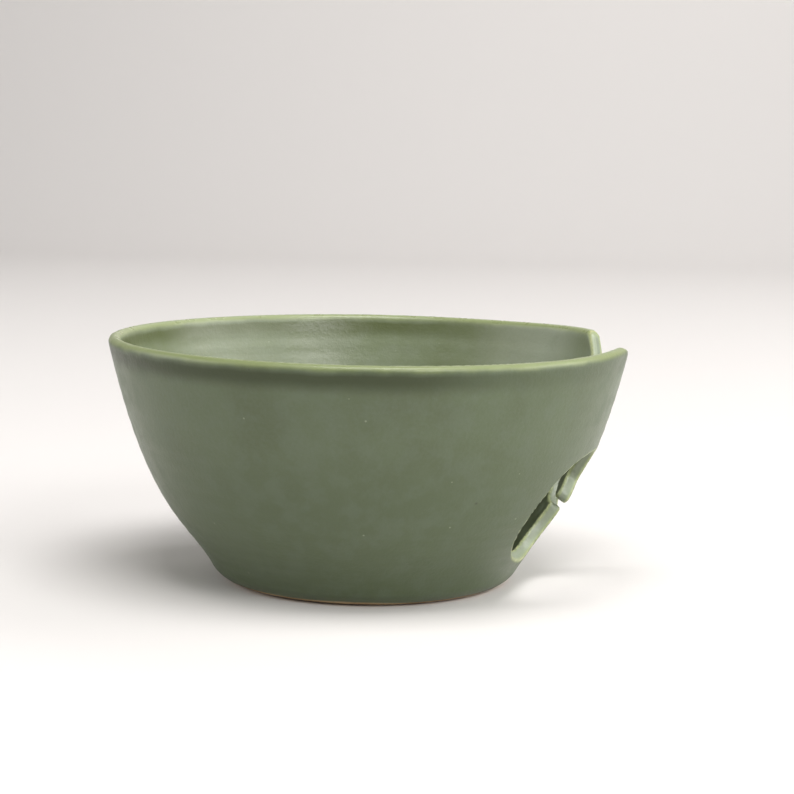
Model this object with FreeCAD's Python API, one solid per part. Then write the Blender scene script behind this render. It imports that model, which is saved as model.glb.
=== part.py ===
import FreeCAD, Part
import math
import os

# A wheel-thrown stoneware yarn bowl. A cut runs from a wide mouth in the rim, down a narrow yarn slot, under the
# tip of a tongue that hangs from the wall above it, and into a large rounded eye low in the wall.
#
# Frame, in millimetres: the origin is on the bowl's axis at the table, +Z is up, and the cut is on the +X side.
# The bowl is one fired pot, so its pieces are its layers: the clay body, and the two coats of glaze that are
# fused to it. The coats meet along the crest of the lip and down the middle of the cut faces.

# Outer wall: a rounded foot, then one long curve up to the rim.
HEIGHT = 77.0
RIM_RADIUS = 82.0
FOOT_FLAT_RADIUS = 41.3
FOOT_ROUND_RADIUS = 8.9
FOOT_ANGLE = 61.0
FOOT_REACH = 16.4
RIM_ANGLE = 77.0
RIM_REACH = 55.5

# Inner wall: a flat floor, a wide round, then a curve that stays about one wall thickness inside the outer one.
FLOOR_HEIGHT = 5.5
FLOOR_FLAT_RADIUS = 37.0
FLOOR_ROUND_RADIUS = 14.2
FLOOR_ANGLE = 57.4
FLOOR_REACH = 7.8
INNER_RIM_REACH = 49.7

# Lip: a half round that joins the two walls.
LIP_THICKNESS = 3.8

# Glaze: one even coat, wiped off a narrow band above the table.
GLAZE_THICKNESS = 0.5
GLAZE_LINE_HEIGHT = 1.3

# Cut: every cut face points at one apex on the bowl's axis, so it meets the wall squarely.
CUT_APEX_HEIGHT = 68.0
CUT_INNER_SCALE = 0.40
CUT_OUTER_SCALE = 1.30

# Control points of the cut's closed outline on the outer wall, as (azimuth in degrees, height). Azimuth 0 is +X.
# They run down the slot's near side, round the tongue's tip and up its other side, round the eye, and up the
# slot's far side.
MOUTH_NEAR = [(-20, 84), (-17, 77.5), (-9, 75.5)]
SLOT_NEAR_SIDE = [(-1, 69.5), (4.5, 63.5), (7.5, 55), (9, 45.5), (8.7, 37), (7.8, 30.6)]
TONGUE_TIP = [(4.4, 26.2), (-0.8, 24.1), (-4.6, 25.4)]
TONGUE_SIDE = [(-3, 28.9), (0.9, 31.6), (-0.3, 34.4)]
EYE_TOP = [(-1.4, 37), (-4.5, 41), (-9.5, 44), (-16.5, 45), (-26.5, 44.4)]
EYE_NEAR_SIDE = [(-34.5, 40.6), (-40, 32), (-42.2, 23.5), (-40, 17.5)]
EYE_BOTTOM = [(-34, 12.8), (-25, 10), (-15, 9), (-6, 11.4), (-2.2, 16.8)]
LOWER_LIP = [(-1.3, 21.5), (-0.6, 23.6), (4.5, 22)]
SLOT_FAR_SIDE = [(11, 26.4), (14, 33.5), (14.3, 42), (13.3, 50), (13.3, 58), (15, 66)]
MOUTH_FAR = [(18, 72.5), (22.5, 77.5), (24, 84)]
ABOVE_RIM = [(24, 94), (-20, 94)]
CUT_OUTLINE = (
    MOUTH_NEAR + SLOT_NEAR_SIDE + TONGUE_TIP + TONGUE_SIDE + EYE_TOP
    + EYE_NEAR_SIDE + EYE_BOTTOM + LOWER_LIP + SLOT_FAR_SIDE + MOUTH_FAR + ABOVE_RIM
)

AXIS_START = FreeCAD.Vector(0, 0, 0)
UP = FreeCAD.Vector(0, 0, 1)


def section_point(radius, height):
    """A point of the bowl's section, which is drawn in the XZ plane."""
    return FreeCAD.Vector(radius, 0, height)


def direction(angle):
    """The direction at an angle in degrees above the horizontal, away from the axis."""
    return section_point(math.cos(math.radians(angle)), math.sin(math.radians(angle)))


def round_point(flat_radius, base_height, round_radius, angle):
    """A point on the round that turns a flat disc up into a wall, where the wall has climbed to this angle."""
    turn = math.radians(angle)
    radius = flat_radius + round_radius * math.sin(turn)
    return section_point(radius, base_height + round_radius * (1 - math.cos(turn)))


def wall_curve(start, start_angle, start_reach, end, end_angle, end_reach):
    """The four control points of a wall that leaves and arrives at the given angles."""
    return [
        start,
        start + direction(start_angle) * start_reach,
        end - direction(end_angle) * end_reach,
        end,
    ]


def moved(curve, start_angle, end_angle, distance):
    """A wall curve moved sideways by a distance, away from the axis where that is positive."""
    start_move = direction(start_angle - 90) * distance
    end_move = direction(end_angle - 90) * distance
    return [curve[0] + start_move, curve[1] + start_move, curve[2] + end_move, curve[3] + end_move]


def bezier_edge(points):
    curve = Part.BezierCurve()
    curve.setPoles(points)
    return curve.toShape()


def arc_edge(start, middle, end):
    return Part.Arc(start, middle, end).toShape()


def line_edge(start, end):
    return Part.LineSegment(start, end).toShape()


def turned_solid(edges):
    """The solid swept by a closed section when it turns once round the bowl's axis."""
    face = Part.Face(Part.Wire(edges))
    return face.revolve(AXIS_START, UP, 360)


LIP_RADIUS = LIP_THICKNESS / 2
OUTER_LIP = section_point(RIM_RADIUS, HEIGHT - LIP_RADIUS)
INNER_LIP = section_point(RIM_RADIUS - LIP_THICKNESS, HEIGHT - LIP_RADIUS)
OUTER_START = round_point(FOOT_FLAT_RADIUS, 0, FOOT_ROUND_RADIUS, FOOT_ANGLE)
INNER_START = round_point(FLOOR_FLAT_RADIUS, FLOOR_HEIGHT, FLOOR_ROUND_RADIUS, FLOOR_ANGLE)
OUTER_WALL = wall_curve(OUTER_START, FOOT_ANGLE, FOOT_REACH, OUTER_LIP, RIM_ANGLE, RIM_REACH)
INNER_WALL = wall_curve(INNER_START, FLOOR_ANGLE, FLOOR_REACH, INNER_LIP, RIM_ANGLE, INNER_RIM_REACH)


def bowl_solid(inset):
    """The whole bowl before it is cut, with every surface but the underside moved into the wall by inset."""
    outer = moved(OUTER_WALL, FOOT_ANGLE, RIM_ANGLE, -inset)
    inner = moved(INNER_WALL, FLOOR_ANGLE, RIM_ANGLE, inset)
    crest = section_point(RIM_RADIUS - LIP_RADIUS, HEIGHT - inset)
    foot_radius = FOOT_ROUND_RADIUS - inset
    foot_start = section_point(FOOT_FLAT_RADIUS, inset)
    foot_middle = round_point(FOOT_FLAT_RADIUS, inset, foot_radius, FOOT_ANGLE / 2)
    floor_radius = FLOOR_ROUND_RADIUS + inset
    floor_height = FLOOR_HEIGHT - inset
    floor_end = section_point(FLOOR_FLAT_RADIUS, floor_height)
    floor_middle = round_point(FLOOR_FLAT_RADIUS, floor_height, floor_radius, FLOOR_ANGLE / 2)
    return turned_solid([
        line_edge(section_point(0, floor_height), section_point(0, inset)),
        line_edge(section_point(0, inset), foot_start),
        arc_edge(foot_start, foot_middle, outer[0]),
        bezier_edge(outer),
        arc_edge(outer[3], crest, inner[3]),
        bezier_edge(inner[::-1]),
        arc_edge(inner[0], floor_middle, floor_end),
        line_edge(floor_end, section_point(0, floor_height)),
    ])


def inner_half():
    """Everything inside the middle of the wall, with the air above the bowl."""
    middle = moved(OUTER_WALL, FOOT_ANGLE, RIM_ANGLE, -LIP_RADIUS)
    top = section_point(middle[3].x, HEIGHT + LIP_THICKNESS)
    bottom = section_point(0, FLOOR_HEIGHT / 2)
    return turned_solid([
        line_edge(bottom, middle[0]),
        bezier_edge(middle),
        line_edge(middle[3], top),
        line_edge(top, section_point(0, top.z)),
        line_edge(section_point(0, top.z), bottom),
    ])


def outer_radius(height):
    """The outer wall's radius at a height, found on its curve. Above the lip it runs straight on."""
    if height >= OUTER_LIP.z:
        return OUTER_LIP.x + (height - OUTER_LIP.z) / math.tan(math.radians(RIM_ANGLE))
    curve = Part.BezierCurve()
    curve.setPoles(OUTER_WALL)
    low, high = 0.0, 1.0
    for _ in range(30):
        middle = (low + high) / 2
        if curve.value(middle).z < height:
            low = middle
        else:
            high = middle
    return curve.value(low).x


def cut_points():
    """The outline's control points as (y, z), thrown from the apex onto the plane x = RIM_RADIUS."""
    points = []
    for azimuth, height in CUT_OUTLINE:
        scale = RIM_RADIUS / (outer_radius(height) * math.cos(math.radians(azimuth)))
        across = RIM_RADIUS * math.tan(math.radians(azimuth))
        points.append((across, CUT_APEX_HEIGHT + (height - CUT_APEX_HEIGHT) * scale))
    return points


def widened(points, distance):
    """A closed outline, listed anticlockwise round the hole in it, with each point moved outwards."""
    result = []
    for index, (across, height) in enumerate(points):
        before = points[index - 1]
        after = points[(index + 1) % len(points)]
        along_y = after[0] - before[0]
        along_z = after[1] - before[1]
        length = math.hypot(along_y, along_z)
        result.append((across + distance * along_z / length, height - distance * along_y / length))
    return result


def cut_solid(points):
    """The cut through the wall: the outline drawn at two distances from the apex, joined by straight rays."""
    wires = []
    for scale in (CUT_INNER_SCALE, CUT_OUTER_SCALE):
        poles = [
            FreeCAD.Vector(RIM_RADIUS * scale, y * scale, CUT_APEX_HEIGHT + (z - CUT_APEX_HEIGHT) * scale)
            for y, z in points
        ]
        curve = Part.BSplineCurve()
        curve.buildFromPoles(poles, True, 3)
        wires.append(Part.Wire(curve.toShape()))
    return Part.makeLoft(wires, True, True)


# The glazed bowl, and the clay inside the glaze. Below the glaze line the clay comes out to the surface.
glazed_bowl = bowl_solid(0)
bare_foot = glazed_bowl.common(Part.makeCylinder(RIM_RADIUS, GLAZE_LINE_HEIGHT))
clay_bowl = bowl_solid(GLAZE_THICKNESS).fuse(bare_foot).removeSplitter()
outline = cut_points()
glazed = glazed_bowl.cut(cut_solid(outline))
clay_body = clay_bowl.cut(cut_solid(widened(outline, GLAZE_THICKNESS)))

# The coats are what the glazed bowl has over the clay, parted along the middle of the wall.
coat = glazed.cut(clay_body)
inside = inner_half()
nodes = {
    "clay_body": clay_body,
    "outer_glaze": coat.cut(inside),
    "inner_glaze": coat.common(inside),
}

os.makedirs("parts", exist_ok=True)
for name, shape in nodes.items():
    solids = shape.Solids
    volume = shape.Volume / 1000
    print(name, "solids", len(solids), "valid", shape.isValid(), f"{volume:.1f} cm3", shape.BoundBox)
    largest = max(solids, key=lambda solid: solid.Volume)
    largest.exportStep(f"parts/{name}.step")
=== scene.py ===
import math

import bpy
import numpy as np
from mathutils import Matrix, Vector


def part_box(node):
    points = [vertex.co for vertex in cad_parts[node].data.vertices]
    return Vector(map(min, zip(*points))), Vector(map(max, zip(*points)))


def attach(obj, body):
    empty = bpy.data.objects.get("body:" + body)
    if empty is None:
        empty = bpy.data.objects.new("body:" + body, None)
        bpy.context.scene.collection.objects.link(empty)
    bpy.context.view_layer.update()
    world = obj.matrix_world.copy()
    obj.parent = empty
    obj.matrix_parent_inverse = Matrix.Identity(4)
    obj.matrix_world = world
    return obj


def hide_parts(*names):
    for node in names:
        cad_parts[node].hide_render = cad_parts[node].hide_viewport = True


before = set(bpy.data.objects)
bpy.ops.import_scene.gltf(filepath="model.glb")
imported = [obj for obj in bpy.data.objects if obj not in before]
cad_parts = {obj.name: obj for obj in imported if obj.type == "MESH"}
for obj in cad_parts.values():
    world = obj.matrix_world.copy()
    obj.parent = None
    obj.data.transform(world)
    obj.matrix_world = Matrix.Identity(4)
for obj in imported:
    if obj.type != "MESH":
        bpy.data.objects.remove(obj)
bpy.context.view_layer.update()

import openvdb
from mathutils import Matrix, Vector

# The looks of a stoneware yarn bowl. One smooth distance field of the glazed bowl is meshed. Its surface is
# parted into an outer and an inner coat of glaze. The clay body is meshed a glaze thickness further in.
# The field is worked out in millimetres, and the meshes are written in metres. An azimuth of 0 is +X.

MM = 0.001
GLAZE_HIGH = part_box("outer_glaze")[1]
HEIGHT = GLAZE_HIGH.z / MM
RIM_RADIUS = GLAZE_HIGH.y / MM

# ---- The bowl's section: the same wall, floor, foot and lip as the frame's ----
FOOT_FLAT_RADIUS = 41.3
FOOT_ROUND_RADIUS = 8.9
FOOT_ANGLE = 61.0
FOOT_REACH = 16.4
RIM_ANGLE = 77.0
RIM_REACH = 55.5
FLOOR_HEIGHT = 5.5
FLOOR_FLAT_RADIUS = 37.0
FLOOR_ROUND_RADIUS = 14.2
FLOOR_ANGLE = 57.4
FLOOR_REACH = 7.8
INNER_RIM_REACH = 49.7
LIP_THICKNESS = 3.8
GLAZE_THICKNESS = 0.5
GLAZE_LINE_HEIGHT = 1.3

# ---- The cut: control points of its outline on the outer wall, as (azimuth in degrees, height) ----
# The outline is thrown from an apex on the bowl's axis, so every cut face runs straight towards that apex.
CUT_APEX_HEIGHT = 68.0
CUT_EDGE_ROUND = 0.95
MOUTH_NEAR = [(-20, 84), (-17, 77.5), (-9, 75.5)]
SLOT_NEAR_SIDE = [(-1, 69.5), (4.5, 63.5), (7.5, 55), (9, 45.5), (8.7, 37), (7.8, 30.6)]
TONGUE_TIP = [(4.4, 26.2), (-0.8, 24.1), (-4.6, 25.4)]
TONGUE_SIDE = [(-3, 28.9), (0.9, 31.6), (-0.3, 34.4)]
EYE_TOP = [(-1.4, 37), (-4.5, 41), (-9.5, 44), (-16.5, 45), (-26.5, 44.4)]
EYE_NEAR_SIDE = [(-34.5, 40.6), (-40, 32), (-42.2, 23.5), (-40, 17.5)]
EYE_BOTTOM = [(-34, 12.8), (-25, 10), (-15, 9), (-6, 11.4), (-2.2, 16.8)]
LOWER_LIP = [(-1.3, 21.5), (-0.6, 23.6), (4.5, 22)]
SLOT_FAR_SIDE = [(11, 26.4), (14, 33.5), (14.3, 42), (13.3, 50), (13.3, 58), (15, 66)]
MOUTH_FAR = [(18, 72.5), (22.5, 77.5), (24, 84)]
ABOVE_RIM = [(24, 94), (-20, 94)]
CUT_OUTLINE = (
    MOUTH_NEAR + SLOT_NEAR_SIDE + TONGUE_TIP + TONGUE_SIDE + EYE_TOP
    + EYE_NEAR_SIDE + EYE_BOTTOM + LOWER_LIP + SLOT_FAR_SIDE + MOUTH_FAR + ABOVE_RIM
)

# The cut is measured only on its own side of the bowl. Elsewhere its distance is taken as NO_CUT.
CUT_SECTOR_ANGLE = 55.0
CUT_SECTOR_START = 15.0
CUT_COLUMNS_START = 20.0
NO_CUT = -1000.0

# ---- The potter's hand: small departures from the exact shape ----
RING_SPACING = 6.8
RING_HEIGHT = 0.045
RING_FADE = 0.35
RING_FADE_LENGTH = 9.0
RING_SWAY = 0.8
RING_SWAY_LENGTH = 11.0
RING_START_HEIGHT = 6.0
RING_CUT_GAP = 3.0
WOBBLE = 0.12
WOBBLE_START_HEIGHT = 20.0
WOBBLE_TWIST_HEIGHT = 30.0
# The rim's swells and dips, as (azimuth in degrees, spread in degrees, rise): on the far side and on the
# near side of the slot's mouth, and at the back.
LIP_SWELLS = [(26, 20, 0.9), (-20, 18, 0.5), (140, 40, -0.25)]
# The waves of the glaze line round the foot, as (number, height, phase).
GLAZE_LINE_WAVES = [(3, 0.22, 1.0), (8, 0.12, 2.0)]

# ---- Meshing ----
# The band and the margin are counted in voxels. LAST_CELL keeps every reading inside a grid.
FINE_VOXEL = 1.1
CLAY_VOXEL = 1.6
BAND_VOXELS = 3
MARGIN_VOXELS = 4
PROJECTION_STEPS = 3
FOOT_STEPS = 24
FLOOR_STEPS = 30
LIP_STEPS = 30
WALL_STEPS = 60
CUT_STEPS = 10
GRID_STEP = 0.5
GRID_MARGIN = 6.0
LAST_CELL = 1.001
BLOCK = 4000
SAME_PLACE = 1e-6
NEVER_ZERO = 1e-9

# ---- The marks: what each point carries for the materials ----
# They are its distances from an edge of the cut, from the cut's face and from the lip's crest. Distances
# from the cut stop at FAR_OFF. A point's row holds its position, its normal and its marks.
MARKS = ("cut_edge", "cut_face", "crest")
FAR_OFF = 50.0
SKIN_COLUMNS = 6 + len(MARKS)


# ======== The section ========

def direction(angle):
    """The unit vector (radius, height) at an angle in degrees above the horizontal."""
    return np.array([math.cos(math.radians(angle)), math.sin(math.radians(angle))])


def bezier_points(start, start_angle, start_reach, end, end_angle, end_reach, steps):
    """Points along a wall that leaves and arrives at the given angles, with both of its ends."""
    t = np.linspace(0, 1, steps + 1)[:, None]
    s = 1 - t
    first = start + direction(start_angle) * start_reach
    second = end - direction(end_angle) * end_reach
    return s ** 3 * start + 3 * s ** 2 * t * first + 3 * s * t ** 2 * second + t ** 3 * end


def arc_points(centre, radius, start_angle, end_angle, steps):
    """Points along an arc, from one angle in degrees to another, with both of its ends."""
    turn = np.radians(np.linspace(start_angle, end_angle, steps + 1))
    return np.array(centre) + radius * np.stack([np.cos(turn), np.sin(turn)], axis=1)


def section_chain():
    """The section's outline: under the foot from beyond the axis, up the outside and down the inside."""
    lip_radius = LIP_THICKNESS / 2
    foot_centre = (FOOT_FLAT_RADIUS, FOOT_ROUND_RADIUS)
    floor_centre = (FLOOR_FLAT_RADIUS, FLOOR_HEIGHT + FLOOR_ROUND_RADIUS)
    lip_centre = (RIM_RADIUS - lip_radius, HEIGHT - lip_radius)
    foot = arc_points(foot_centre, FOOT_ROUND_RADIUS, -90, FOOT_ANGLE - 90, FOOT_STEPS)
    floor = arc_points(floor_centre, FLOOR_ROUND_RADIUS, FLOOR_ANGLE - 90, -90, FLOOR_STEPS)
    lip = arc_points(lip_centre, lip_radius, RIM_ANGLE - 90, RIM_ANGLE + 90, LIP_STEPS)
    outer = bezier_points(
        foot[-1], FOOT_ANGLE, FOOT_REACH, lip[0], RIM_ANGLE, RIM_REACH, WALL_STEPS
    )
    inner = bezier_points(
        floor[0], FLOOR_ANGLE, FLOOR_REACH, lip[-1], RIM_ANGLE, INNER_RIM_REACH, WALL_STEPS
    )
    beyond_axis = -FLOOR_FLAT_RADIUS
    under = np.array([[beyond_axis, 0.0], [0.0, 0.0]])
    top = np.array([[0.0, FLOOR_HEIGHT], [beyond_axis, FLOOR_HEIGHT]])
    return np.vstack([under, foot, outer[1:-1], lip, inner[::-1][1:-1], floor, top])


# ======== The cut's outline ========

def spline_points(poles, steps):
    """Points along the closed cubic B-spline of some control points."""
    t = (np.arange(steps) / steps)[:, None]
    points = []
    for index in range(len(poles)):
        a, b, c, d = (poles[(index + shift) % len(poles)] for shift in (-1, 0, 1, 2))
        points.append((
            (1 - t) ** 3 * a + (3 * t ** 3 - 6 * t ** 2 + 4) * b
            + (-3 * t ** 3 + 3 * t ** 2 + 3 * t + 1) * c + t ** 3 * d
        ) / 6)
    return np.vstack(points)


def outer_radius(height, section):
    """The outer wall's radius at a height. Above the lip it runs straight on."""
    lip_height = HEIGHT - LIP_THICKNESS / 2
    if height >= lip_height:
        return RIM_RADIUS + (height - lip_height) / math.tan(math.radians(RIM_ANGLE))
    outside = section[: len(section) // 2]
    wall = outside[(outside[:, 0] > FOOT_FLAT_RADIUS) & (outside[:, 1] < lip_height)]
    return float(np.interp(height, wall[:, 1], wall[:, 0]))


def cut_chain(section):
    """The cut's outline as (y, z), thrown from the apex onto the plane x = RIM_RADIUS."""
    poles = []
    for azimuth, height in CUT_OUTLINE:
        scale = RIM_RADIUS / (outer_radius(height, section) * math.cos(math.radians(azimuth)))
        across = RIM_RADIUS * math.tan(math.radians(azimuth))
        poles.append(np.array([across, CUT_APEX_HEIGHT + (height - CUT_APEX_HEIGHT) * scale]))
    points = spline_points(poles[::-1], CUT_STEPS)
    return np.vstack([points, points[:1]])


# ======== Distances ========

class Chain:
    """A smooth line in a plane, and the signed distance from it: positive on its right-hand side."""

    def __init__(self, points):
        keep = np.ones(len(points), bool)
        keep[1:] = np.linalg.norm(np.diff(points, axis=0), axis=1) > SAME_PLACE
        points = points[keep]
        self.start = points[:-1]
        self.run = np.diff(points, axis=0)
        self.length2 = (self.run ** 2).sum(axis=1)
        side = np.stack([self.run[:, 1], -self.run[:, 0]], axis=1) / np.sqrt(self.length2)[:, None]
        closed = np.allclose(points[0], points[-1])
        before = np.vstack([side[-1:] if closed else side[:1], side])
        after = np.vstack([side, side[:1] if closed else side[-1:]])
        normal = before + after
        self.normal = normal / np.linalg.norm(normal, axis=1)[:, None]

    def measure(self, points):
        """The signed distance of each point, and the direction in which it grows."""
        distance = np.empty(len(points))
        normal = np.empty((len(points), 2))
        for first in range(0, len(points), BLOCK):
            block = points[first:first + BLOCK]
            offset = block[:, None, :] - self.start[None]
            along = np.clip((offset * self.run).sum(axis=2) / self.length2, 0, 1)
            gap = offset - along[..., None] * self.run
            nearest = (gap ** 2).sum(axis=2).argmin(axis=1)
            row = np.arange(len(block))
            t = along[row, nearest][:, None]
            local = self.normal[nearest] * (1 - t) + self.normal[nearest + 1] * t
            local /= np.linalg.norm(local, axis=1)[:, None]
            near_gap = gap[row, nearest]
            sign = np.where((near_gap * local).sum(axis=1) >= 0, 1.0, -1.0)
            distance[first:first + BLOCK] = sign * np.linalg.norm(near_gap, axis=1)
            normal[first:first + BLOCK] = local
        return distance, normal


class Grid:
    """A chain's distances on a regular grid, read between its nodes."""

    def __init__(self, chain, low, high):
        self.low = np.array(low, float)
        counts = [int((b - a) / GRID_STEP) + 2 for a, b in zip(low, high)]
        axes = [start + GRID_STEP * np.arange(count) for start, count in zip(low, counts)]
        nodes = np.stack(np.meshgrid(*axes, indexing="ij"), axis=-1).reshape(-1, 2)
        self.values = chain.measure(nodes)[0].reshape(counts)

    def read(self, first, second):
        """The distance at each pair of coordinates. Beyond the grid it is that at the grid's border."""
        u = np.clip((first - self.low[0]) / GRID_STEP, 0, self.values.shape[0] - LAST_CELL)
        v = np.clip((second - self.low[1]) / GRID_STEP, 0, self.values.shape[1] - LAST_CELL)
        i, j = u.astype(int), v.astype(int)
        s, t = u - i, v - j
        near = self.values[i, j] * (1 - t) + self.values[i, j + 1] * t
        far = self.values[i + 1, j] * (1 - t) + self.values[i + 1, j + 1] * t
        return near * (1 - s) + far * s


section_line = section_chain()
section = Chain(section_line)
cut = Chain(cut_chain(section_line))


def in_cut_sector(points):
    """True where a point is near enough to +X for the cut to matter."""
    sector_edge = np.abs(points[:, 1]) / math.tan(math.radians(CUT_SECTOR_ANGLE))
    return points[:, 0] > sector_edge + CUT_SECTOR_START


def join(wall, hole, radius):
    """The distance to a wall with a hole through it, with the edges rounded to a radius."""
    over_wall = np.maximum(wall + radius, 0)
    over_hole = np.maximum(hole + radius, 0)
    return np.minimum(np.maximum(wall, hole), -radius) + np.hypot(over_wall, over_hole)


def measure(points):
    """The distance of 3-D points from the glazed bowl, its direction, and those from wall and cut."""
    radius = np.maximum(np.hypot(points[:, 0], points[:, 1]), SAME_PLACE)
    wall, flat = section.measure(np.stack([radius, points[:, 2]], axis=1))
    spokes = points[:, :2] / radius[:, None]
    wall_normal = np.column_stack([spokes * flat[:, :1], flat[:, 1]])
    hole = np.full(len(points), NO_CUT)
    hole_normal = np.zeros_like(points)
    near = in_cut_sector(points)
    x, y, z = points[near].T
    scale = RIM_RADIUS / x
    lifted = z - CUT_APEX_HEIGHT
    thrown = np.column_stack([y * scale, CUT_APEX_HEIGHT + lifted * scale])
    plane_distance, grow = cut.measure(thrown)
    slope = plane_distance / RIM_RADIUS - (grow[:, 0] * y + grow[:, 1] * lifted) / x
    gradient = np.column_stack([slope, grow])
    steepness = np.linalg.norm(gradient, axis=1)
    hole[near] = plane_distance / scale / steepness
    hole_normal[near] = gradient / steepness[:, None]
    distance = join(wall, hole, CUT_EDGE_ROUND)
    wall_share = np.maximum(wall + CUT_EDGE_ROUND, 0)[:, None]
    hole_share = np.maximum(hole + CUT_EDGE_ROUND, 0)[:, None]
    normal = wall_normal * np.maximum(wall_share, NEVER_ZERO) + hole_normal * hole_share
    normal /= np.linalg.norm(normal, axis=1)[:, None]
    return distance, normal, wall, hole


# ======== Meshing the field ========

def volume(voxel, inset):
    """The field's distances on a 3-D grid, with the grid's lowest corner."""
    low = np.array([-RIM_RADIUS, -RIM_RADIUS, 0.0]) - MARGIN_VOXELS * voxel
    high = np.array([RIM_RADIUS, RIM_RADIUS, HEIGHT]) + MARGIN_VOXELS * voxel
    x, y, z = (np.arange(a, b, voxel) for a, b in zip(low, high))
    wall_grid = Grid(section, (0, -GRID_MARGIN), (RIM_RADIUS + GRID_MARGIN, HEIGHT + GRID_MARGIN))
    radius = np.hypot(x[:, None], y[None, :])
    wall = wall_grid.read(radius[:, :, None], z[None, None, :])
    hole = np.full(wall.shape, NO_CUT)
    columns = x > CUT_COLUMNS_START
    cut_low = cut.start.min(axis=0) - GRID_MARGIN
    cut_high = cut.start.max(axis=0) + GRID_MARGIN
    hole_grid = Grid(cut, cut_low, cut_high)
    scale = (RIM_RADIUS / x[columns])[:, None, None]
    across = y[None, :, None] * scale
    height = CUT_APEX_HEIGHT + (z[None, None, :] - CUT_APEX_HEIGHT) * scale
    hole[columns] = hole_grid.read(across, height) / scale
    azimuth = np.arctan2(y[None, :], x[:, None])[:, :, None]
    return join(wall, hole, CUT_EDGE_ROUND) + inset(azimuth, z[None, None, :]), low


def azimuth_of(points):
    """Each point's azimuth in radians."""
    return np.arctan2(points[:, 1], points[:, 0])


def surface(voxel, inset):
    """The field's surface as points and quads, with every point moved exactly onto it."""
    values, low = volume(voxel, inset)
    band = BAND_VOXELS * voxel
    grid = openvdb.FloatGrid(band)
    grid.copyFromArray(np.clip(values, -band, band).astype(np.float32))
    points, quads = grid.convertToQuads(0.0)
    points = points.astype(float) * voxel + low
    for _ in range(PROJECTION_STEPS):
        distance, normal, _, _ = measure(points)
        distance += inset(azimuth_of(points), points[:, 2])
        points -= np.clip(distance, -voxel, voxel)[:, None] * normal
    return points, quads.astype(int)


def mesh_normals(points, faces):
    """Each point's normal, from the faces round it, weighted by their size."""
    first_diagonal = points[faces[:, 2]] - points[faces[:, 0]]
    second_diagonal = points[faces[:, 3]] - points[faces[:, 1]]
    normal = np.cross(first_diagonal, second_diagonal)
    total = np.zeros_like(points)
    for corner in range(4):
        np.add.at(total, faces[:, corner], normal)
    return total / np.linalg.norm(total, axis=1)[:, None]


# ======== The potter's hand ========

def throwing_rings(points):
    """How far the surface stands out where the potter's fingers left a slow spiral."""
    azimuth = azimuth_of(points)
    path = np.hypot(points[:, 0], points[:, 1]) + points[:, 2]
    turn = 2 * math.pi * path / RING_SPACING + azimuth
    strength = 1 - RING_FADE + RING_FADE * np.sin(path / RING_FADE_LENGTH + 2 * azimuth)
    return RING_HEIGHT * strength * np.sin(turn + RING_SWAY * np.sin(path / RING_SWAY_LENGTH))


def lip_lift(points):
    """How much the rim rises beside the mouth of the slot and dips at the back."""
    degrees = np.degrees(azimuth_of(points))
    lift = sum(rise * np.exp(-((degrees - centre) / spread) ** 2) for centre, spread, rise in LIP_SWELLS)
    return lift * np.clip(points[:, 2] / HEIGHT, 0, 1) ** 3


def shaped_by_hand(points, normals, hole):
    """The points moved by rings and warps. Rings fade out on the foot's underside and near the cut."""
    azimuth = azimuth_of(points)
    height = points[:, 2]
    fade = np.clip(height / RING_START_HEIGHT, 0, 1) * np.clip(-hole / RING_CUT_GAP, 0, 1)
    wobble = WOBBLE * np.sin(3 * azimuth + height / WOBBLE_TWIST_HEIGHT)
    wobble *= np.clip(height / WOBBLE_START_HEIGHT, 0, 1)
    moved = points + normals * (throwing_rings(points) * fade)[:, None]
    moved[:, 0] += wobble * np.cos(azimuth)
    moved[:, 1] += wobble * np.sin(azimuth)
    moved[:, 2] += lip_lift(points)
    return moved


def glaze_line(azimuth):
    """The height at which the outer glaze ends. It wanders a little round the foot."""
    waves = sum(rise * np.sin(number * azimuth + phase) for number, rise, phase in GLAZE_LINE_WAVES)
    return GLAZE_LINE_HEIGHT + waves


def no_inset(azimuth, height):
    """The skin of the glazed bowl lies at the field's own surface, so it is nowhere set in."""
    return 0.0 * height


def clay_inset(azimuth, height):
    """How deep the clay lies: under the glaze above the glaze line, and at the surface below it."""
    return GLAZE_THICKNESS * np.clip((height - glaze_line(azimuth)) / GLAZE_THICKNESS + 0.5, 0, 1)


# ======== Parting and thickening ========

def parted(table, faces, side):
    """The part of a mesh where side is positive. A face on which side changes sign is cut there."""
    rows = list(table)
    made = {}
    kept = []
    above = side > 0
    for face in faces:
        count = sum(above[corner] for corner in face)
        if count == 0:
            continue
        if count == len(face):
            kept.append(face)
            continue
        outline = []
        for here, there in zip(face, face[1:] + face[:1]):
            if above[here]:
                outline.append(here)
            if above[here] != above[there]:
                edge = (min(here, there), max(here, there))
                if edge not in made:
                    share = side[edge[0]] / (side[edge[0]] - side[edge[1]])
                    made[edge] = len(rows)
                    rows.append(table[edge[0]] * (1 - share) + table[edge[1]] * share)
                outline.append(made[edge])
        kept.append(outline)
    used = sorted({corner for face in kept for corner in face})
    place = {old: new for new, old in enumerate(used)}
    kept_rows = np.array([rows[old] for old in used])
    kept_faces = [[place[corner] for corner in face] for face in kept]
    return kept_rows, kept_faces


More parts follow.
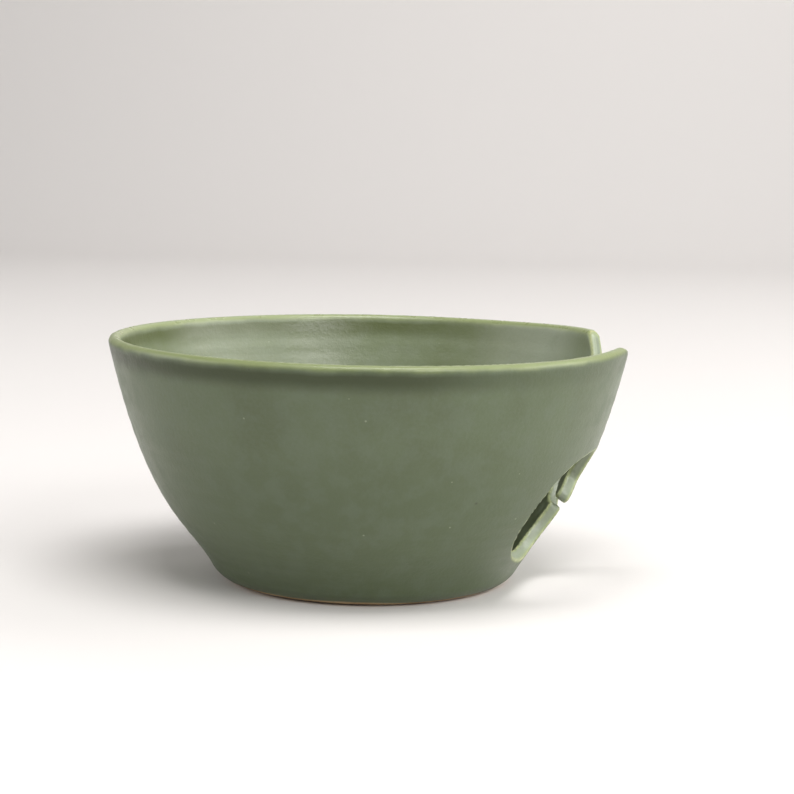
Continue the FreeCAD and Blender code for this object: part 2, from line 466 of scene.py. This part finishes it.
def shell(table, faces, thickness):
    """A closed coat: the surface, the same surface moved inwards, and a narrow band along every border."""
    count = len(table)
    points, normals = table[:, :3], table[:, 3:6]
    normals = normals / np.linalg.norm(normals, axis=1)[:, None]
    edges = {(a, b) for face in faces for a, b in zip(face, face[1:] + face[:1])}
    border = sorted((a, b) for a, b in edges if (b, a) not in edges)
    bands = [[b, a, a + count, b + count] for a, b in border]
    under = [[corner + count for corner in reversed(face)] for face in faces]
    all_points = np.vstack([points, points - normals * thickness])
    corners = [normals[corner] for face in faces for corner in face]
    corners += [-normals[corner - count] for face in under for corner in face]
    for first, second, third, _ in bands:
        along = all_points[second] - all_points[first]
        inwards = all_points[third] - all_points[second]
        flat = np.cross(along, inwards)
        corners += [flat / max(np.linalg.norm(flat), NEVER_ZERO)] * 4
    marks = np.vstack([table[:, 6:], table[:, 6:]])
    return all_points, faces + under + bands, corners, marks


def make_piece(name, points, faces, corners, marks):
    """A mesh object in metres, with its corner normals and its marks as named attributes."""
    mesh = bpy.data.meshes.new(name)
    mesh.from_pydata((points * MM).tolist(), [], faces)
    mesh.shade_smooth()
    mesh.normals_split_custom_set([tuple(corner) for corner in corners])
    for column, mark in enumerate(MARKS):
        attribute = mesh.attributes.new(mark, "FLOAT", "POINT")
        attribute.data.foreach_set("value", marks[:, column].astype(np.float32))
    piece = bpy.data.objects.new(name, mesh)
    bpy.context.collection.objects.link(piece)
    return piece


def envelope(voxel):
    """The glazed bowl's whole skin: one row for each point, the faces, and the points' exact places."""
    points, quads = surface(voxel, no_inset)
    _, normals, wall, hole = measure(points)
    exact = mesh_normals(points, quads)
    if (exact * normals).sum() < 0:
        quads = quads[:, ::-1]
        exact = -exact
    moved = shaped_by_hand(points, normals, hole)
    normals = normals + mesh_normals(moved, quads) - exact
    normals /= np.linalg.norm(normals, axis=1)[:, None]
    crest_radius = RIM_RADIUS - LIP_THICKNESS / 2
    crest = np.hypot(np.hypot(points[:, 0], points[:, 1]) - crest_radius, points[:, 2] - HEIGHT)
    cut_face = np.minimum(np.maximum(-hole, 0), FAR_OFF)
    cut_edge = np.minimum(np.hypot(np.minimum(wall, 0), cut_face), FAR_OFF)
    table = np.column_stack([moved, normals, cut_edge, cut_face, crest])
    return table, quads.tolist(), points


def middle_side(points):
    """Positive outside the middle of the wall, negative inside it."""
    half = LIP_THICKNESS / 2
    foot_centre = (FOOT_FLAT_RADIUS, FOOT_ROUND_RADIUS)
    foot_end = arc_points(foot_centre, FOOT_ROUND_RADIUS - half, -90, FOOT_ANGLE - 90, 1)[-1]
    crest = np.array([RIM_RADIUS - half, HEIGHT - half])
    wall = bezier_points(foot_end, FOOT_ANGLE, FOOT_REACH, crest, RIM_ANGLE, RIM_REACH, WALL_STEPS)
    floor = [[-FLOOR_FLAT_RADIUS, FLOOR_HEIGHT / 2], [0, FLOOR_HEIGHT / 2]]
    line = np.vstack([floor, wall, [[crest[0], HEIGHT + LIP_THICKNESS]]])
    flat = np.column_stack([np.hypot(points[:, 0], points[:, 1]), points[:, 2]])
    return Chain(line).measure(flat)[0]


def make_coats():
    """The outer and the inner coat: the skin parted in the middle of the wall and at the glaze line."""
    voxel = FINE_VOXEL
    table, faces, exact_points = envelope(voxel)
    side = middle_side(exact_points)
    table = np.column_stack([table, exact_points])
    inside, inside_faces = parted(table, faces, -side)
    outside, outside_faces = parted(table, faces, side)
    above_line = outside[:, -1] - glaze_line(azimuth_of(outside[:, -3:]))
    outside, outside_faces = parted(outside, outside_faces, above_line)
    outer_shell = shell(outside[:, :SKIN_COLUMNS], outside_faces, GLAZE_THICKNESS)
    inner_shell = shell(inside[:, :SKIN_COLUMNS], inside_faces, GLAZE_THICKNESS)
    return make_piece("satin_outer_glaze", *outer_shell), make_piece("satin_inner_glaze", *inner_shell)


def make_body():
    """The clay body, which fills the coats and shows below the glaze line. Its marks are all 0."""
    points, quads = surface(CLAY_VOXEL, clay_inset)
    _, normals, _, hole = measure(points)
    if (mesh_normals(points, quads) * normals).sum() < 0:
        quads = quads[:, ::-1]
    moved = shaped_by_hand(points, normals, hole)
    corners = mesh_normals(moved, quads)[quads.ravel()]
    marks = np.zeros((len(moved), len(MARKS)))
    return make_piece("stoneware_body", moved, quads.tolist(), corners, marks)


def make_bowl():
    """The clay body and its two coats, each riding on the root body and standing for its CAD node."""
    outer, inner = make_coats()
    clay = make_body()
    for piece, node in ((outer, "outer_glaze"), (inner, "inner_glaze"), (clay, "clay_body")):
        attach(piece, "root")
        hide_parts(node)
    return outer, inner, clay


# ======== Materials ========

def colour(red, green, blue):
    """A display colour, 0 to 255, as the linear colour that the shader takes."""
    linear = [((c / 255 + 0.055) / 1.055) ** 2.4 for c in (red, green, blue)]
    return (*linear, 1.0)


# The places of a mix node's colour sockets.
MIX_FIRST = 6
MIX_SECOND = 7
MIX_RESULT = 2


class Nodes:
    """Short calls for building one material's node tree."""

    def __init__(self, name):
        self.material = bpy.data.materials.new(name)
        self.material.use_nodes = True
        self.tree = self.material.node_tree
        self.shader = self.tree.nodes["Principled BSDF"]

    def put(self, kind, inputs, output=0, **settings):
        """Adds a node. An input is a value or another node's output. Returns one of the node's outputs."""
        made = self.tree.nodes.new(kind)
        for key, value in settings.items():
            setattr(made, key, value)
        for key, value in inputs.items():
            self.feed(made.inputs[key], value)
        return made.outputs[output]

    def feed(self, socket, value):
        """Links a node's output to a socket, or sets the socket to a value."""
        if isinstance(value, bpy.types.NodeSocket):
            self.tree.links.new(value, socket)
        else:
            socket.default_value = value

    def place(self):
        """The piece's own coordinates, in millimetres."""
        coordinates = self.put("ShaderNodeTexCoord", {}, output="Object")
        return self.put("ShaderNodeVectorMath", {0: coordinates, "Scale": 1 / MM}, operation="SCALE")

    def axes(self, place):
        """The x, y and z of a place."""
        parts = self.tree.nodes.new("ShaderNodeSeparateXYZ")
        self.feed(parts.inputs[0], place)
        return parts.outputs

    def noise(self, place, size, detail=3.0, roughness=0.5, stretch=(1, 1, 1)):
        """Soft noise with blotches about as large as size, in millimetres."""
        scaled = self.put("ShaderNodeVectorMath", {0: place, 1: stretch}, operation="MULTIPLY")
        inputs = {"Vector": scaled, "Scale": 1 / size, "Detail": detail, "Roughness": roughness}
        return self.put("ShaderNodeTexNoise", inputs, output="Fac")

    def ramp(self, value, low, high, start=0.0, end=1.0):
        """Turns low..high into start..end, smoothly and clamped."""
        inputs = {"Value": value, "From Min": low, "From Max": high, "To Min": start, "To Max": end}
        return self.put("ShaderNodeMapRange", inputs, interpolation_type="SMOOTHSTEP")

    def math(self, operation, first, second=0.0):
        """A calculation with one or two values."""
        return self.put("ShaderNodeMath", {0: first, 1: second}, operation=operation)

    def times(self, first, second):
        """The product of two values."""
        return self.math("MULTIPLY", first, second)

    def mix(self, share, first, second):
        """The first colour with a share of the second laid over it."""
        made = self.tree.nodes.new("ShaderNodeMix")
        made.data_type = "RGBA"
        self.feed(made.inputs["Factor"], share)
        self.feed(made.inputs[MIX_FIRST], first)
        self.feed(made.inputs[MIX_SECOND], second)
        return made.outputs[MIX_RESULT]

    def mark(self, name):
        """One of the MARKS that the meshes carry, in millimetres."""
        return self.put("ShaderNodeAttribute", {}, output="Fac", attribute_name=name)

    def bump(self, height, distance, normal=None):
        """A normal tilted by a height from 0 to 1 that stands for a distance in millimetres."""
        inputs = {"Height": height, "Distance": distance * MM, "Strength": 1.0}
        if normal is not None:
            inputs["Normal"] = normal
        return self.put("ShaderNodeBump", inputs)


# The inside is paler than the outside: painted light, a brighter copy of the same glaze standing for the
# light that falls into the bowl. It is also shinier. Low down both are darker: painted shade, deepest
# inside.
OUTSIDE = {
    "green": colour(89, 101, 73),
    "olive": colour(83, 94, 65),
    "grey": colour(106, 116, 102),
    "dark": colour(46, 56, 22),
    # Painted shade low on the outer wall.
    "low": colour(80, 92, 64),
    "shine": 0.5,
    "roughness": 0.36,
}
# Painted light: these tints are the glaze made paler for the light that falls into the bowl.
LIT_INSIDE = {
    "green": colour(124, 134, 102),
    "olive": colour(116, 125, 90),
    "grey": colour(138, 146, 128),
    "dark": colour(84, 93, 50),
    # Painted shade deep inside the bowl.
    "low": colour(58, 66, 42),
    "shine": 0.7,
    "roughness": 0.32,
}
GLAZE_THIN = colour(156, 166, 112)
# The paler colour laid over the cut's faces.
GLAZE_CUT = colour(172, 182, 158)
GLAZE_BREAK = colour(208, 200, 150)
IRON_SPECK = colour(46, 40, 30)
PALE_SPECK = colour(150, 158, 134)

# The glaze's blotches: their sizes in millimetres, the stretch of the noise in which each grows from nothing
# to full, and how strongly it shows.
BROAD_SIZE = 26.0
BROAD_STRETCH = (0.38, 0.66)
CLOUD_SIZE = 7.0
CLOUD_STRETCH = (0.42, 0.68)
CLOUD_SHARE = 0.2
GRAIN_SIZE = 1.1
GRAIN_STRETCH = (0.35, 0.7)
GRAIN_SHARE = 0.14

# How far the edges of the thin and the pooled glaze wander, in millimetres. Those at the cut wander less.
DRIFT_SIZE = 9.0
DRIFT = 1.2
EDGE_DRIFT_SHARE = 0.2

# The satin surface: sizes and heights in millimetres, and how the roughness varies.
STREAK_SIZE = 3.0
STREAK_SHAPE = (0.12, 0.12, 1.0)
STREAK_HEIGHT = 0.08
PEEL_SIZE = 1.6
PEEL_HEIGHT = 0.05
GRAIN_HEIGHT = 0.02
ROUGHER_IN_CLOUDS = 0.10
SMOOTHER_ON_LIP = 0.05

# Where each effect begins and where it is full, in millimetres: heights, distances from the lip's crest,
# places along X, and distances from the cut's face or from its nearest edge.
# Painted shade: from the first height down to the second the glaze turns to its darker low tint.
SHADE_LOW_DOWN = (56.0, 30.0)
POOL_BELOW_LIP = (2.4, 3.8)
POOL_FADES_OUT = (9.5, 4.6)
POOL_AWAY_FROM_CUT = (55.0, 5.0)
THIN_ON_LIP = (3.0, 1.6)
PALE_ON_FACE = (0.9, 0.2)
THIN_ON_EDGE = (1.3, 0.5)
BREAK_ON_EDGE = (0.6, 0.36)

# How strongly each of them shows. The pooled glaze gains strength from the cut's side to the far side.
POOL_WEAKEST = 0.25
POOL_STRONGEST = 0.9
THIN_LIP_SHARE = 0.6
PALE_FACE_SHARE = 0.45
THIN_EDGE_SHARE = 0.7
BREAK_SHARE = 0.6
SPECK_SHARE = 0.5

# Specks of iron and small pale flecks, as (cell size, dot radius in cells, share of empty cells, colour).
# A dot is full up to DOT_CORE of its radius and gone at DOT_RIM.
SPECKS = [(11.0, 0.035, 0.88, IRON_SPECK), (5.0, 0.05, 0.9, PALE_SPECK)]
DOT_CORE = 0.8
DOT_RIM = 1.6


def mottled(nodes, place, height, cloud, grain, tints):
    """The glaze's colour in broad, middling and fine blotches. Low on the wall it turns to darker low tints:
    painted shade.
    """
    broad = nodes.ramp(nodes.noise(place, BROAD_SIZE, 2.0), *BROAD_STRETCH)
    clouds = nodes.times(cloud, CLOUD_SHARE)
    base = nodes.mix(broad, tints["green"], tints["olive"])
    base = nodes.mix(clouds, base, tints["grey"])
    base = nodes.mix(nodes.times(grain, GRAIN_SHARE), base, tints["grey"])
    # Painted shade: the darker tints low on the wall.
    shaded_low_base = nodes.mix(clouds, tints["low"], tints["grey"])
    return nodes.mix(nodes.ramp(height, *SHADE_LOW_DOWN), base, shaded_low_base)


def pooled(nodes, base, across, crest, dark):
    """The glaze that ran thick and dark below the lip, most of all away from the cut."""
    band = nodes.times(nodes.ramp(crest, *POOL_BELOW_LIP), nodes.ramp(crest, *POOL_FADES_OUT))
    run_thick = nodes.ramp(across, *POOL_AWAY_FROM_CUT, POOL_WEAKEST, POOL_STRONGEST)
    return nodes.mix(nodes.times(band, run_thick), base, dark)


def thinned(nodes, base, thin_lip, edge):
    """The glaze that is thin and pale on the lip and most of all on the cut's edges. The cut's faces are
    made paler too.
    """
    on_face = nodes.ramp(nodes.mark("cut_face"), *PALE_ON_FACE)
    on_edge = nodes.ramp(edge, *THIN_ON_EDGE)
    breaking = nodes.ramp(edge, *BREAK_ON_EDGE)
    base = nodes.mix(nodes.times(thin_lip, THIN_LIP_SHARE), base, GLAZE_THIN)
    # The cut's faces are made paler.
    base = nodes.mix(nodes.times(on_face, PALE_FACE_SHARE), base, GLAZE_CUT)
    base = nodes.mix(nodes.times(on_edge, THIN_EDGE_SHARE), base, GLAZE_THIN)
    return nodes.mix(nodes.times(breaking, BREAK_SHARE), base, GLAZE_BREAK)


def specked(nodes, base, place):
    """Specks in a few of the cells of a scattered pattern."""
    for size, dot, rarity, tint in SPECKS:
        cells = nodes.tree.nodes.new("ShaderNodeTexVoronoi")
        nodes.feed(cells.inputs["Vector"], place)
        cells.inputs["Scale"].default_value = 1 / size
        split = nodes.put("ShaderNodeSeparateColor", {"Color": cells.outputs["Color"]})
        chosen = nodes.math("GREATER_THAN", split, rarity)
        inside = nodes.ramp(cells.outputs["Distance"], dot * DOT_RIM, dot * DOT_CORE)
        base = nodes.mix(nodes.times(nodes.times(chosen, inside), SPECK_SHARE), base, tint)
    return base


def satin_normal(nodes, place, grain):
    """Faint streaks from the fingers, a fine orange peel and the grain."""
    streaks = nodes.noise(place, STREAK_SIZE, 3.0, 0.6, stretch=STREAK_SHAPE)
    peel = nodes.noise(place, PEEL_SIZE, 2.0)
    normal = nodes.bump(streaks, STREAK_HEIGHT)
    normal = nodes.bump(peel, PEEL_HEIGHT, normal)
    return nodes.bump(grain, GRAIN_HEIGHT, normal)


def glaze_material(name, tints):
    """Satin grey-green glaze: mottled, dark where it ran thick below the lip, and pale on every edge."""
    nodes = Nodes(name)
    place = nodes.place()
    x, _, z = nodes.axes(place)
    cloud = nodes.ramp(nodes.noise(place, CLOUD_SIZE, 4.0, 0.6), *CLOUD_STRETCH)
    grain = nodes.ramp(nodes.noise(place, GRAIN_SIZE, 3.0, 0.7), *GRAIN_STRETCH)
    drift = nodes.times(nodes.math("SUBTRACT", nodes.noise(place, DRIFT_SIZE, 2.0), 0.5), DRIFT)
    crest = nodes.math("ADD", nodes.mark("crest"), drift)
    edge = nodes.math("ADD", nodes.mark("cut_edge"), nodes.times(drift, EDGE_DRIFT_SHARE))
    thin_lip = nodes.ramp(crest, *THIN_ON_LIP)
    base = mottled(nodes, place, z, cloud, grain, tints)
    base = pooled(nodes, base, x, crest, tints["dark"])
    base = thinned(nodes, base, thin_lip, edge)
    base = specked(nodes, base, place)
    satin = nodes.math("ADD", nodes.times(cloud, ROUGHER_IN_CLOUDS), tints["roughness"])
    gloss = nodes.math("SUBTRACT", satin, nodes.times(thin_lip, SMOOTHER_ON_LIP))
    nodes.feed(nodes.shader.inputs["Base Color"], base)
    nodes.feed(nodes.shader.inputs["Roughness"], gloss)
    nodes.feed(nodes.shader.inputs["Normal"], satin_normal(nodes, place, grain))
    nodes.shader.inputs["Specular IOR Level"].default_value = tints["shine"]
    return nodes.material


CLAY_TAN = colour(200, 176, 138)
CLAY_TOAST = colour(140, 92, 60)
CLAY_DARK = colour(120, 92, 66)
CLAY_ROUGHNESS = 0.85
PATCH_SIZE = 14.0
PATCH_SHARE = 0.4
TOAST_HEIGHTS = (0.5, 0.1)
TOAST_SHARE = 0.8
GRIT_SIZE = 0.5
GRIT_SHARE = 0.35
GROG_SIZE = 0.7
GROG_HEIGHT = 0.18
TRIMMING_RING_SPACING = 2.6
TRIMMING_RING_HEIGHT = 0.06


def clay_material(name):
    """Bare fired stoneware: tan, toasted redder underneath, with grit and the rings from trimming."""
    nodes = Nodes(name)
    place = nodes.place()
    x, y, z = nodes.axes(place)
    toast = nodes.ramp(z, *TOAST_HEIGHTS)
    patches = nodes.ramp(nodes.noise(place, PATCH_SIZE, 3.0), 0.4, 0.7)
    grit = nodes.ramp(nodes.noise(place, GRIT_SIZE, 2.0, 0.6), 0.55, 0.75)
    base = nodes.mix(nodes.times(patches, PATCH_SHARE), CLAY_TAN, CLAY_TOAST)
    base = nodes.mix(nodes.times(toast, TOAST_SHARE), base, CLAY_TOAST)
    base = nodes.mix(nodes.times(grit, GRIT_SHARE), base, CLAY_DARK)
    flat = nodes.put("ShaderNodeCombineXYZ", {0: x, 1: y, 2: 0.0})
    radius = nodes.put("ShaderNodeVectorMath", {0: flat}, output="Value", operation="LENGTH")
    wave = nodes.math("SINE", nodes.times(radius, 2 * math.pi / TRIMMING_RING_SPACING))
    normal = nodes.bump(wave, TRIMMING_RING_HEIGHT)
    normal = nodes.bump(nodes.noise(place, GROG_SIZE, 4.0, 0.7), GROG_HEIGHT, normal)
    nodes.feed(nodes.shader.inputs["Base Color"], base)
    nodes.shader.inputs["Roughness"].default_value = CLAY_ROUGHNESS
    nodes.feed(nodes.shader.inputs["Normal"], normal)
    return nodes.material


# ======== The studio ========

# Everything in the studio is measured in metres, degrees and watts.
FLOOR_WHITE = colour(231, 227, 224)
STAGE_FRONT = -2.5
STAGE_BACK = 1.6
STAGE_BEND = 0.8
STAGE_WALL_TOP = 2.5
STAGE_HALF_WIDTH = 3.0
STAGE_BEND_POINTS = 24
AMBIENT = 0.15
AIM = (0, 0, 0.04)
CAMERA_DISTANCE = 0.6458
CAMERA_HEIGHT = 0.1417
CAMERA_PITCH = 7.394
CAMERA_PAN = 0.824
CAMERA_ROLL = 1.248
LENS = 92.62
SENSOR_WIDTH = 36.0


def make_camera():
    """A camera in front of the bowl, a little above its rim, with a slight roll."""
    camera = bpy.data.cameras.new("camera")
    camera.sensor_width = SENSOR_WIDTH
    camera.lens = LENS
    camera.clip_start = 0.01
    camera.clip_end = 20.0
    placed = bpy.data.objects.new("camera", camera)
    bpy.context.collection.objects.link(placed)
    pitch, pan, roll = (math.radians(a) for a in (CAMERA_PITCH, CAMERA_PAN, CAMERA_ROLL))
    ahead = Vector((
        math.sin(pan) * math.cos(pitch),
        math.cos(pan) * math.cos(pitch),
        -math.sin(pitch),
    ))
    level = Vector((math.cos(pan), -math.sin(pan), 0))
    above = level.cross(ahead)
    right = level * math.cos(roll) + above * math.sin(roll)
    up = above * math.cos(roll) - level * math.sin(roll)
    turn = Matrix((right, up, -ahead)).transposed().to_4x4()
    placed.matrix_world = Matrix.Translation((0, -CAMERA_DISTANCE, CAMERA_HEIGHT)) @ turn
    bpy.context.scene.camera = placed


def make_floor():
    """A pale floor that curves up into a pale wall far behind the bowl."""
    bend = STAGE_BEND
    turn = np.linspace(0, math.pi / 2, STAGE_BEND_POINTS)
    profile = [(STAGE_FRONT, 0.0)]
    profile += [(STAGE_BACK + bend * math.sin(a), bend - bend * math.cos(a)) for a in turn]
    profile.append((STAGE_BACK + bend, STAGE_WALL_TOP))
    points = [(side, y, z) for y, z in profile for side in (-STAGE_HALF_WIDTH, STAGE_HALF_WIDTH)]
    faces = [(2 * i, 2 * i + 1, 2 * i + 3, 2 * i + 2) for i in range(len(profile) - 1)]
    mesh = bpy.data.meshes.new("studio_floor")
    mesh.from_pydata(points, [], faces)
    mesh.shade_smooth()
    floor = bpy.data.objects.new("studio_floor", mesh)
    bpy.context.collection.objects.link(floor)
    nodes = Nodes("studio_floor")
    nodes.shader.inputs["Base Color"].default_value = FLOOR_WHITE
    nodes.shader.inputs["Roughness"].default_value = 0.9
    nodes.shader.inputs["Specular IOR Level"].default_value = 0.1
    mesh.materials.append(nodes.material)


def area_light(name, place, aim, width, depth, power):
    """A rectangular soft box at a place, turned towards another."""
    light = bpy.data.lights.new(name, "AREA")
    light.shape = "RECTANGLE"
    light.size = width
    light.size_y = depth
    light.energy = power
    placed = bpy.data.objects.new(name, light)
    bpy.context.collection.objects.link(placed)
    placed.location = place
    placed.rotation_euler = (Vector(aim) - Vector(place)).to_track_quat("-Z", "Y").to_euler()


def place_round_camera(turn, rise, distance):
    """A place seen from the bowl this many degrees right of the camera and above the floor."""
    across, up = math.radians(turn), math.radians(rise)
    return (
        distance * math.sin(across) * math.cos(up),
        -distance * math.cos(across) * math.cos(up),
        distance * math.sin(up),
    )


def make_lights():
    """Soft boxes in front, to the right and behind, a wide panel at each side, and one for the backdrop."""
    area_light("high_front", place_round_camera(15, 73, 1.34), AIM, width=0.9, depth=0.6, power=12.0)
    area_light("low_front", place_round_camera(30, 34, 1.32), AIM, width=0.6, depth=0.4, power=5.5)
    area_light("left_front", place_round_camera(-30, 51, 1.38), AIM, width=0.8, depth=0.6, power=0.8)
    area_light("right_back", place_round_camera(100, 36, 1.32), AIM, width=0.8, depth=0.6, power=3.5)
    area_light("left_panel", (-1.4, 0.05, 0.5), AIM, width=1.4, depth=0.9, power=8.0)
    area_light("right_panel", (1.35, -0.2, 0.5), AIM, width=1.4, depth=0.9, power=11.0)
    area_light("behind", (0.3, 1.0, 1.2), AIM, width=1.2, depth=0.6, power=1.5)
    area_light("backdrop", (0.8, 0.9, 1.7), (0.3, 2.4, 0.9), width=1.2, depth=0.5, power=20.0)


def make_surroundings():
    """An even white glow from all round, and colours shown as they are."""
    world = bpy.data.worlds.new("studio")
    world.use_nodes = True
    background = world.node_tree.nodes["Background"]
    background.inputs["Color"].default_value = (1, 1, 1, 1)
    background.inputs["Strength"].default_value = AMBIENT
    bpy.context.scene.world = world
    bpy.context.scene.view_settings.view_transform = "Standard"


# ======== Everything ========

make_camera()
make_floor()
make_lights()
make_surroundings()
outer_coat, inner_coat, body = make_bowl()
outer_coat.data.materials.append(glaze_material("satin_glaze_outside", OUTSIDE))
inner_coat.data.materials.append(glaze_material("satin_glaze_inside", LIT_INSIDE))
body.data.materials.append(clay_material("bare_stoneware"))
